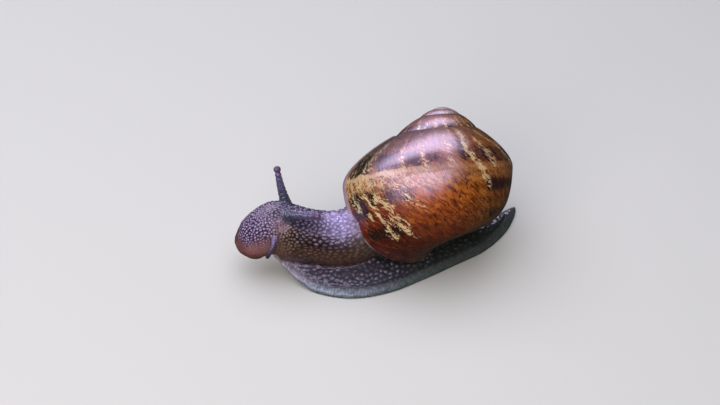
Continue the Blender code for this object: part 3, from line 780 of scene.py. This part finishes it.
def plug_ring(share):
    """A flat ring across the mouth, from the outer wall to the whorl before."""
    last = len(shell_points) - 1
    i = int(share * last)
    k = meeting_index + int(share * (last - meeting_index))
    rows = []
    for turn in PLUG_TURNS:
        outer = in_mouth(shell_points[i], shell_normals[i], turn, PLUG_INSETS[0])
        inner = in_mouth(shell_points[k], shell_normals[k], turn - math.tau, PLUG_INSETS[1])
        rows.append([outer + (inner - outer) * j / 8 for j in range(9)])
    return rows[0] + rows[1][::-1]


pieces = {
    "body": [piece([body_ring(i) for i in range(len(body_rows))])],
    "foot": [piece([foot_ring(i) for i in range(len(foot_rows))])],
    "upper": [], "lower": [],
    "collar": [piece([collar_ring(i) for i in COLLAR_POINTS]),
               piece([plug_ring(share) for share in PLUG_SHARES])],
}
FEELER_STEPS = 26
feeler_middle, feeler_ahead = [], []
for name, (points, root, tip) in FEELERS.items():
    line = along(points, FEELER_STEPS)
    radii = root + (tip - root) * np.linspace(0, 1, FEELER_STEPS) ** 0.7
    ahead = np.gradient(line, axis=0)
    ahead /= np.linalg.norm(ahead, axis=1)[:, None]
    side = np.cross(ahead, (0.3, 1.0, 0.2))
    side /= np.linalg.norm(side, axis=1)[:, None]
    pieces[name.split("_")[0]].append(
        piece([round_ring(*values) for values in zip(line, side, np.cross(ahead, side), radii)])
    )
    feeler_middle.append(line)
    feeler_ahead.append(ahead)
feeler_middle = np.vstack(feeler_middle)
feeler_ahead = np.vstack(feeler_ahead)

flesh = bmesh.new()
surfaces = {}
for name, group in pieces.items():
    merged = bmesh.new()
    for part in group:
        part_mesh = mesh_from(part, name)
        merged.from_mesh(part_mesh)
        flesh.from_mesh(part_mesh)
        bpy.data.meshes.remove(part_mesh)
    surfaces[name] = BVHTree.FromBMesh(merged)
    merged.free()
forms_mesh = mesh_from(flesh, "skin_forms")
forms = put_in_scene("skin_forms", forms_mesh)
remesh = forms.modifiers.new("remesh", "REMESH")
remesh.mode = "VOXEL"
remesh.voxel_size = SKIN_VOXEL
joined = bpy.data.meshes.new_from_object(forms.evaluated_get(bpy.context.evaluated_depsgraph_get()))
bpy.data.objects.remove(forms)
bpy.data.meshes.remove(forms_mesh)
bm = bmesh.new()
bm.from_mesh(joined)
bpy.data.meshes.remove(joined)
creased = [
    vert for vert in bm.verts
    if all(surfaces[name].find_nearest(vert.co)[3] < FILLET_REACH for name in ("body", "foot"))
]


def smooth(verts, rounds):
    for _ in range(rounds):
        bmesh.ops.smooth_vert(bm, verts=verts, factor=0.5, use_axis_x=True, use_axis_y=True, use_axis_z=True)


smooth(bm.verts[:], 3)
smooth(creased, 13)

# the flat sole is one face; the edges of the head and neck, which carry the finest warts, are halved
SOLE_LEVEL = 0.12                  # mm
for vert in bm.verts:
    if vert.co.z < SOLE_LEVEL:
        vert.co.z = 0.0
sole = [face for face in bm.faces if all(vert.co.z == 0.0 for vert in face.verts)]
bmesh.ops.dissolve_faces(bm, faces=sole, use_verts=False)
fine = [
    edge for edge in bm.edges
    if edge.verts[0].co.x < FINE_BEFORE and max(len(face.verts) for face in edge.link_faces) < 5
    and surfaces["foot"].find_nearest(edge.verts[0].co)[3] > 0.5
    and edge.verts[0].co.z > 2.0
]
bmesh.ops.subdivide_edges(bm, edges=fine, cuts=1, use_grid_fill=True)
smooth([vert for vert in bm.verts if vert.co.z > 0.0], 2)
bm.normal_update()
skin_mesh = mesh_from(bm, "skin")
count = len(skin_mesh.vertices)
spots = np.zeros(count * 3)
skin_mesh.vertices.foreach_get("co", spots)
spots = spots.reshape(-1, 3)
normals = np.zeros(count * 3)
skin_mesh.vertices.foreach_get("normal", normals)
normals = normals.reshape(-1, 3)


def smooth_step(values, low, high):
    share = np.clip((values - low) / (high - low), 0, 1)
    return share * share * (3 - 2 * share)


def search_tree(samples):
    tree = kdtree.KDTree(len(samples))
    for i, sample in enumerate(samples):
        tree.insert(sample, i)
    tree.balance()
    return tree


def nearest(points, samples):
    """Index of the sample nearest to each point."""
    tree = search_tree(samples)
    return np.array([tree.find(point)[1] for point in points])


def lengths_along(line):
    return np.concatenate(([0.0], np.cumsum(np.linalg.norm(np.diff(line, axis=0), axis=1))))


# where each point lies: along and round the body, along and across the foot
k = nearest(spots, body_middle)
offset = spots - body_middle[k]
body_u = lengths_along(body_middle)[k] + (offset * body_ahead[k]).sum(1)
body_v = (offset * body_side[k]).sum(1)
body_round = np.degrees(np.arctan2(np.abs(body_v), (offset * body_top[k]).sum(1)))
body_axis = body_ahead[k]
k = nearest(spots * (1, 1, 0), foot_middle)
offset = spots - foot_middle[k]
foot_u = lengths_along(foot_middle)[k] + (offset * foot_ahead[k]).sum(1)
foot_v = (offset * foot_side[k]).sum(1)
margin = np.hypot(
    np.maximum(foot_rows[k, 3] - np.abs(foot_v), 0), spots[:, 2] - np.maximum(foot_rows[k, 2], 0)
)
foot_axis = foot_ahead[k]
outline = np.vstack([foot_middle + sign * foot_side * foot_rows[:, 3:4] for sign in (-1, 1)])
outline_length = np.concatenate([lengths_along(half) for half in np.split(outline, 2)])
k = nearest(spots * (1, 1, 0), outline)
outline_ahead = np.gradient(outline[:, :2], axis=0)
outline_ahead /= np.linalg.norm(outline_ahead, axis=1)[:, None]
round_foot = outline_length[k] + ((spots - outline[k])[:, :2] * outline_ahead[k]).sum(1)
k = nearest(spots, feeler_middle)
feeler_share = (k % FEELER_STEPS) / (FEELER_STEPS - 1)
closeness = {}
for name, surface in surfaces.items():
    distance = np.array([surface.find_nearest(point)[3] for point in spots])
    closeness[name] = np.exp(-((distance / JOIN_REACH) ** 2)) + 1e-9
total = sum(closeness.values())

# Places on the skin: along and round its part, how far they reach, the colour between
# the warts and of the warts, and the warts' spacing in mm, stretch and height.
BODY_PLACES = (
    (6.3, 45, 2.6, 34, "#20152A", "#9C86B0", 0.60, 1.4, 1.0),  # forehead
    (9.5, 8, 2.2, 24, "#1A1420", "#6E647E", 0.58, 1.1, 0.9),  # crown
    (4.6, 92, 2.8, 20, "#804E4A", "#966C6A", 0.55, 1.2, 0.14),  # side of the muzzle
    (1.4, 60, 1.4, 40, "#5E3634", "#7A5454", 0.55, 1.2, 0.12),  # front of the muzzle
    (1.5, 120, 2.0, 40, "#5B2A24", "#6E3A32", 0.55, 1.2, 0.06),  # lips
    (6.0, 150, 3.0, 30, "#5A3230", "#6E4440", 0.6, 1.2, 0.1),  # chin
    (10.3, 50, 1.1, 18, "#5A3836", "#70504C", 0.45, 1.0, 0.12),  # hollow behind the feeler
    (11.6, 78, 1.7, 26, "#1A0E0A", "#98826C", 0.58, 1.0, 0.95),  # neck behind the lower feeler
    (10.2, 112, 2.0, 26, "#5C3A34", "#7C5A52", 0.55, 1.0, 0.25),  # throat
    (16.8, 66, 4.6, 22, "#0E0507", "#644850", 0.78, 1.7, 1.0),  # side of the neck
    (16.0, 34, 4.5, 16, "#110B1A", "#625478", 0.74, 1.4, 0.95),  # upper side of the neck
    (15.0, 4, 4.0, 18, "#322846", "#7C7098", 0.8, 1.4, 0.6),  # nape
    # next to the shell: the skin's own lavender tone, lightened by a painted wet sheen
    (22.0, 24, 3.2, 30, "#685C8E", "#B6ACDC", 0.85, 1.3, 0.4),  # next to the shell
    (18.0, 116, 7.5, 26, "#331E16", "#684A38", 0.76, 1.9, 0.5),  # low side of the neck
    (16.5, 150, 6.0, 30, "#2A1C1E", "#44323A", 0.9, 1.6, 0.4),  # under the neck
    (26.0, 60, 3.0, 40, "#33281F", "#645446", 0.95, 1.4, 0.5),  # trunk in the mouth of the shell
)
FOOT_PLACES = (                    # along the foot, distance from its margin, then as above
    (3.0, 1.5, 3.6, 3.0, "#6B5E68", "#AC9FB2", 0.42, 1.0, 0.7),  # front
    (12.0, 0.9, 9.0, 1.0, "#222E36", "#7C909C", 0.55, 1.0, 0.45),  # fringe
    (12.0, 3.1, 9.0, 0.8, "#100E14", "#4E4C5C", 1.0, 1.1, 1.0),  # large warts above the fringe
    (12.0, 5.0, 9.0, 1.2, "#140C14", "#38303E", 0.95, 1.1, 0.7),  # fold above
    (24.0, 1.0, 7.0, 1.2, "#2E3A3C", "#65716F", 0.60, 1.0, 0.35),  # fringe under the shell
    (24.0, 4.0, 7.0, 2.0, "#161616", "#34363A", 1.0, 1.3, 0.7),
    (40.0, 1.0, 9.0, 1.2, "#2A3230", "#565F5C", 0.6, 1.0, 0.3),  # edge of the tail
    (40.0, 4.0, 9.0, 2.0, "#161A14", "#2C332C", 1.05, 1.5, 0.7),  # back of the tail
)
FEELER_PLACES = {                  # at the root and at the tip
    "upper": (("#1E2638", "#4A586E", 0.36, 1.2, 0.9), ("#3A2E4C", "#7C74A0", 0.3, 1.2, 0.4)),
    "lower": (("#3E2C4C", "#8474A6", 0.34, 1.5, 0.5), ("#241A26", "#4C3E4C", 0.3, 1.3, 0.3)),
}
COLLAR_PLACE = ("#84745C", "#BCA88A", 0.5, 1.0, 0.3)


def as_row(groove, wart, spacing, stretch, height):
    return np.array((*linear(groove)[:3], *linear(wart)[:3], spacing, stretch, height))


def blend(places, first, second):
    """Rows of skin values at two coordinates, from the places around them."""
    sum_of, weights = 0.0, 0.0
    for at_first, at_second, reach_first, reach_second, *values in places:
        far_first = ((first - at_first) / reach_first) ** 2
        far_second = ((second - at_second) / reach_second) ** 2
        weight = np.exp(-far_first - far_second) + 1e-12
        sum_of = sum_of + weight[:, None] * as_row(*values)
        weights = weights + weight
    return sum_of / weights[:, None]


rows = {"body": blend(BODY_PLACES, body_u, body_round), "foot": blend(FOOT_PLACES, foot_u, margin)}
for name, (root, tip) in FEELER_PLACES.items():
    share = smooth_step(feeler_share, 0.35, 0.9)[:, None]
    rows[name] = as_row(*root) * (1 - share) + as_row(*tip) * share
rows["collar"] = np.tile(as_row(*COLLAR_PLACE), (count, 1))
skin_rows = sum(rows[name] * closeness[name][:, None] for name in rows) / total[:, None]
groove_colour, wart_colour = skin_rows[:, :3], skin_rows[:, 3:6]
spacing, stretch, height = skin_rows[:, 6], skin_rows[:, 7], skin_rows[:, 8]
along_body = (closeness["body"] + closeness["collar"])[:, None]
along_feeler = (closeness["upper"] + closeness["lower"])[:, None]
axis = body_axis * along_body + foot_axis * closeness["foot"][:, None] + feeler_ahead[k] * along_feeler
axis /= np.linalg.norm(axis, axis=1)[:, None]

# scatter wart middles no closer than their spacing, then shape the nearest wart at each point
spread = np.random.default_rng(5)
grid = {}
CELL = 1.3                         # mm, side of the search grid
seeds = []
order = spread.permutation(np.flatnonzero(spots[:, 2] > 0.3))
order = order[:len(order) * 2 // 3]
for i, (x, y, z), reach, (ax, ay, az), long in zip(
    order, spots[order].tolist(), (spacing[order] * spread.uniform(0.72, 1.2, len(order))).tolist(),
    axis[order].tolist(), stretch[order].tolist(),
):
    cx, cy, cz = int(x // CELL), int(y // CELL), int(z // CELL)
    free = True
    for key in ((cx + a, cy + b, cz + c) for a in (-1, 0, 1) for b in (-1, 0, 1) for c in (-1, 0, 1)):
        for sx, sy, sz in grid.get(key, ()):
            dx, dy, dz = x - sx, y - sy, z - sz
            lengthwise = dx * ax + dy * ay + dz * az
            across = dx * dx + dy * dy + dz * dz - lengthwise * lengthwise
            if lengthwise * lengthwise / (long * long) + across < WART_CROWDING * reach * reach:
                free = False
                break
        if not free:
            break
    if free:
        grid.setdefault((cx, cy, cz), []).append((x, y, z))
        seeds.append(i)
seeds = np.array(seeds)
tree = search_tree(spots[seeds])
AROUND = 7                         # warts looked at round each point
noise.seed_set(WARP_SEED)
warp = np.array([noise.noise_vector(Vector(point) * WART_WARPS) for point in spots]) * WART_WARP
near = np.array([[found[1] for found in tree.find_n(point, AROUND)] for point in spots])
to_seed = (spots + warp)[:, None] - spots[seeds][near]
lengthwise = (to_seed * axis[seeds][near]).sum(2)
across = np.maximum((to_seed ** 2).sum(2) - lengthwise ** 2, 0)
distance = np.sqrt((lengthwise / stretch[seeds][near]) ** 2 + across) / (0.5 * spacing[seeds][near])
rank = np.argsort(distance, axis=1)
closest = np.take_along_axis(distance, rank[:, :2], 1)
own = near[np.arange(count), rank[:, 0]]
wart = smooth_step(closest[:, 1] - closest[:, 0], 0.12, 0.85) * smooth_step(closest[:, 0], 1.04, 0.36)
wart_size = spread.uniform(0.35, 1.0, len(seeds))[own]

# large forms, in mm along the body and degrees round it from the top: furrow behind the forehead,
# hollow, lips, mouth, folds, pleats by the shell, feeler rings, grooves of the fringe, breathing opening
on_body = closeness["body"] / total
on_foot = closeness["foot"] / total
furrow = np.exp(-((body_u - 9.7 - 0.008 * (body_round - 40)) / 0.28) ** 2) * smooth_step(body_round, 22, 40)
furrow *= smooth_step(body_round, 112, 88) * on_body
hollow = np.exp(-((body_u - 10.5) / 0.8) ** 2 - ((body_round - 50) / 13) ** 2) * on_body
mouth = np.exp(-((body_v / 0.22) ** 2)) * smooth_step(body_round, 100, 140)
mouth = mouth * smooth_step(body_u, 4.0, 2.6) * on_body
slit = np.exp(-(((spots[:, 1] - 0.4) / 0.24) ** 2)) * smooth_step(spots[:, 0], -21.3, -22.2) * on_body
slit *= smooth_step(spots[:, 2], 7.6, 6.4)
mouth = np.maximum(mouth, slit)
lobes = np.exp(-((body_u - 1.6) / 1.3) ** 2 - ((np.abs(body_v) - 1.5) / 1.0) ** 2)
lobes *= smooth_step(body_round, 70, 110) * on_body
folds = np.array([noise.noise(Vector((u * 0.55, r * 0.035, 3.0))) for u, r in zip(body_u, body_round)])
folds = folds * on_body
pleats = np.sin(body_u * math.tau / 1.9 + 0.05 * body_round + 2.0 * folds)
pleats *= np.exp(-((body_u - 22.5) / 2.6) ** 2)
pleats *= smooth_step(body_round, 100, 60) * on_body
rings = np.sin(feeler_share * 70) * (closeness["upper"] + 0.5 * closeness["lower"]) / total
in_fringe = smooth_step(margin, 2.5, 2.1) * smooth_step(spots[:, 2], 0.05, 0.4) * on_foot
fringe_phase = round_foot + 0.12 * np.sin(round_foot * 1.7) + 0.1 * np.sin(round_foot * 0.61)
fringe_rib = np.abs(np.sin(math.pi * fringe_phase / FRINGE_RIB)) ** 0.7
fringe_noise = [noise.noise(Vector((a * 1.4, m * 1.8, 9.0))) for a, m in zip(round_foot, margin)]
fringe_rib *= 0.55 + 0.45 * np.array(fringe_noise)
fringe_rib = np.clip(fringe_rib * 1.3, 0, 1)
ditch = np.exp(-((margin - 2.45) / 0.22) ** 2) * on_foot
pore_at = in_mouth(shell_points[PORE_POINT], shell_normals[PORE_POINT], 0.03, 3.0)
pore_at = spots[np.argmin(((spots - pore_at) ** 2).sum(1))]
pore_distance = np.sqrt(((spots - pore_at) ** 2).sum(1))
pore = np.exp(-((pore_distance / 0.6) ** 2))
pore_rim = np.exp(-(((pore_distance - 1.1) / 0.35) ** 2))
lift = (
    WART_HEIGHT * wart * wart_size * height * spacing / 0.7
    - 0.14 * furrow - 0.2 * hollow - 0.35 * mouth + 0.3 * lobes + 0.16 * folds + 0.14 * pleats + 0.035 * rings
    - 0.9 * pore + 0.15 * pore_rim
    - 0.13 * in_fringe * (1 - fringe_rib) - 0.18 * ditch
)
lift = np.where(spots[:, 2] < 0.02, 0.0, lift)
spots = spots + normals * lift[:, None]
spots[:, 2] = np.maximum(spots[:, 2], 0.0)
shade = smooth_step(wart, 0.28, 0.92) * (0.55 + 0.7 * wart_size) * (0.35 + 0.65 * height)
shade = np.clip(shade + 0.25 * (1 - height), 0, 1)
shade = shade * (1 - in_fringe) + in_fringe * (0.15 + 0.85 * fringe_rib ** 1.5)
# painted shade: darker in the furrow behind the forehead, in the ditch above the fringe, in the mouth, and
# nearly black in the breathing opening
shade *= (1 - 0.95 * pore) * (1 - 0.3 * furrow) * (1 - 0.75 * ditch) * (1 - 0.8 * mouth)
tints = (groove_colour + (wart_colour - groove_colour) * shade[:, None]) * (1 - 0.85 * pore[:, None])
skin_mesh.vertices.foreach_set("co", spots.ravel())
layer = skin_mesh.attributes.new("tint", "FLOAT_COLOR", "POINT")
layer.data.foreach_set("color", np.column_stack((tints, np.ones(count))).ravel())
layer = skin_mesh.attributes.new("raised", "FLOAT", "POINT")
layer.data.foreach_set("value", shade.astype(np.float32))
skin_mesh.transform(Matrix.Translation(FIT) @ Matrix.Scale(MM, 4))
skin_mesh.shade_smooth()
skin = put_in_scene("skin", skin_mesh)

# Wet skin under a film of slime: soft inside, glossy outside, with tiny pits.
hide, tree, shader = new_material("wet_warty_skin")
tint = add_node(tree, "ShaderNodeAttribute", {"attribute_name": "tint"})
place = add_node(tree, "ShaderNodeTexCoord")
speckle = add_node(tree, "ShaderNodeTexNoise", None,
                   {"Vector": place.outputs["Object"], "Scale": 2.2 / MM, "Detail": 3.0, "Roughness": 0.65})
cloud = add_node(tree, "ShaderNodeTexNoise", None,
                 {"Vector": place.outputs["Object"], "Scale": 0.35 / MM, "Detail": 3.0, "Roughness": 0.6})
gain = add_node(tree, "ShaderNodeMath", {"operation": "MULTIPLY_ADD"},
                {0: speckle.outputs["Fac"], 1: 0.9, 2: 0.55})
cloud_gain = add_node(tree, "ShaderNodeMapRange", None,
                      {"Value": cloud.outputs["Fac"], "From Min": 0.3, "From Max": 0.7,
                       "To Min": 0.8, "To Max": 1.2})
gain = add_node(tree, "ShaderNodeMath", {"operation": "MULTIPLY"},
                {0: gain.outputs["Value"], 1: cloud_gain.outputs["Result"]})
coloured = add_node(tree, "ShaderNodeVectorMath", {"operation": "SCALE"},
                    {0: tint.outputs["Color"], "Scale": gain.outputs["Value"]})
pits = add_node(tree, "ShaderNodeTexVoronoi", None, {"Vector": place.outputs["Object"], "Scale": 5.0 / MM})
relief = add_node(tree, "ShaderNodeMath", {"operation": "MULTIPLY_ADD"},
                  {0: pits.outputs["Distance"], 1: 0.6, 2: speckle.outputs["Fac"]})
bump = add_node(tree, "ShaderNodeBump", None,
                {"Strength": 0.35, "Distance": 0.08 * MM, "Height": relief.outputs["Value"]})
wetness = add_node(tree, "ShaderNodeMapRange", None,
                   {"Value": cloud.outputs["Fac"], "From Min": 0.35, "From Max": 0.65,
                    "To Min": 0.5, "To Max": 0.34})
set_inputs(tree, shader, {
    "Base Color": coloured.outputs["Vector"], "Roughness": wetness.outputs["Result"],
    "Normal": bump.outputs["Normal"], "Coat Normal": bump.outputs["Normal"],
    "Coat Weight": 0.75, "Coat Roughness": 0.13, "Coat IOR": 1.6, "Subsurface Weight": 0.08,
    "Subsurface Radius": (1.0, 0.45, 0.35), "Subsurface Scale": 0.4 * MM,
})
skin_mesh.materials.clear()
skin_mesh.materials.append(hide)
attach(skin, "root")
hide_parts("muzzle", "head", "neck", "trunk", "foot_front", "foot_middle", "foot_rear", "tail",
            "upper_feeler_left", "upper_feeler_right", "lower_feeler_left", "lower_feeler_right",
            "mantle_collar")

# --- eyes --------------------------------------------------------------------
# A swollen dark bulb at the end of each upper feeler, under wet skin; the eye itself
# shows through the front as a darker spot. Flesh, round and very smooth.

EYE_RADIUS = 0.72                  # mm
EYE_FLATTENING = 0.94              # along the feeler
EYE_OUT = 0.5                      # mm from the feeler's last point to the middle
bulb, tree, shader = new_material("wet_dark_eye")
place = add_node(tree, "ShaderNodeTexCoord")
front = add_node(tree, "ShaderNodeAttribute", {"attribute_name": "front"})
speckle = add_node(tree, "ShaderNodeTexNoise", None,
                   {"Vector": place.outputs["Object"], "Scale": 3.5 / MM, "Detail": 3.0})
violet = add_node(tree, "ShaderNodeMix", {"data_type": "RGBA"},
                  {0: speckle.outputs["Fac"], 6: linear("#382542"), 7: linear("#6C5676")})
pupil = add_node(tree, "ShaderNodeMapRange", {"interpolation_type": "SMOOTHSTEP"},
                 {"Value": front.outputs["Fac"], "From Min": 0.72, "From Max": 0.86})
coloured = add_node(tree, "ShaderNodeMix", {"data_type": "RGBA"},
                    {0: pupil.outputs["Result"], 6: violet.outputs[2], 7: linear("#0E0A12")})
bump = add_node(tree, "ShaderNodeBump", None,
                {"Strength": 0.2, "Distance": 0.04 * MM, "Height": speckle.outputs["Fac"]})
set_inputs(tree, shader, {
    "Base Color": coloured.outputs[2], "Roughness": 0.3, "Normal": bump.outputs["Normal"],
    "Coat Weight": 1.0, "Coat Roughness": 0.06,
})
for name, row in (("left", 0), ("right", 1)):
    last = (row + 1) * FEELER_STEPS - 1
    ahead = Vector(feeler_ahead[last])
    middle = Vector(feeler_middle[last]) + ahead * EYE_OUT
    bm = bmesh.new()
    bmesh.ops.create_uvsphere(bm, u_segments=40, v_segments=24, radius=EYE_RADIUS)
    front_layer = bm.verts.layers.float.new("front")
    for vert in bm.verts:
        vert[front_layer] = vert.co.z / EYE_RADIUS
    for face in bm.faces:
        face.smooth = True
    bmesh.ops.scale(bm, vec=(1.0, 1.0, EYE_FLATTENING), verts=bm.verts[:])
    bmesh.ops.transform(bm, verts=bm.verts[:], matrix=(
        Matrix.Translation(FIT) @ Matrix.Scale(MM, 4) @ Matrix.Translation(middle)
        @ ahead.to_track_quat("Z", "Y").to_matrix().to_4x4()
    ))
    eye_mesh = mesh_from(bm, "eye_bulb_" + name)
    eye_mesh.materials.append(bulb)
    eye = put_in_scene("eye_bulb_" + name, eye_mesh)
    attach(eye, "root")
    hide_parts("eye_" + name)
